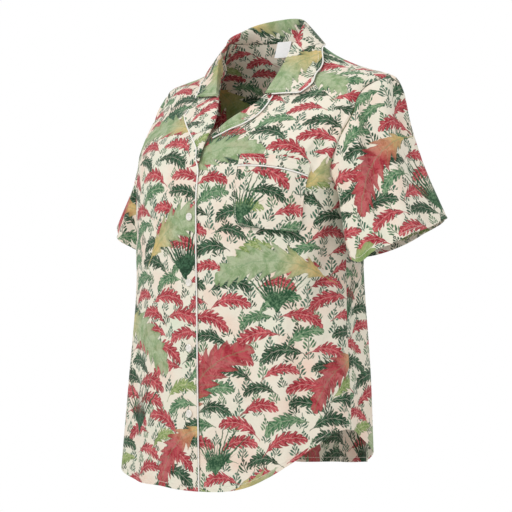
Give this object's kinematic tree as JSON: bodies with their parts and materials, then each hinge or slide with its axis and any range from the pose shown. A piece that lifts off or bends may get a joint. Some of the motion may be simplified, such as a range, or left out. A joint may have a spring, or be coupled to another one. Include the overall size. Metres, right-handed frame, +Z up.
{
  "type": "pajama top",
  "caption": "Short-sleeved pajama top filled out as if worn, with a notched collar, piped edges, a chest pocket, a buttoned front and a curved shirt-tail hem.",
  "frame": {"origin": "midway between the wearer's shoulders, level with the side of the neck, where the shoulders hold the garment up", "axes": "+Z up, -Y to the front, +X to the wearer's left"},
  "size_m": [0.5754, 0.2676, 0.6909],
  "materials": {
    "printed_cotton": "matt cream cotton, printed all over with small leaves in crimson, greens and ochre",
    "printed_cotton_trim": "the same printed cotton, doubled and pressed, for the collar, lapels and pocket band",
    "white_piping": "off-white covered cord, matt",
    "pearl_button": "pearly white, glossy",
    "label_tape": "plain white woven tape, bare"
  },
  "bodies": {
    "root": {"back": "printed_cotton", "front_left": "printed_cotton", "front_right": "printed_cotton", "sleeve_left": "printed_cotton", "sleeve_right": "printed_cotton", "pocket": "printed_cotton", "collar": "printed_cotton_trim", "lapel_left": "printed_cotton_trim", "lapel_right": "printed_cotton_trim", "pocket_band": "printed_cotton_trim", "piping_collar": "white_piping", "piping_left": "white_piping", "piping_right": "white_piping", "piping_pocket": "white_piping", "button_1": "pearl_button", "button_2": "pearl_button", "button_3": "pearl_button", "button_4": "pearl_button", "neck_label": "label_tape"}
  },
  "joints": []
}
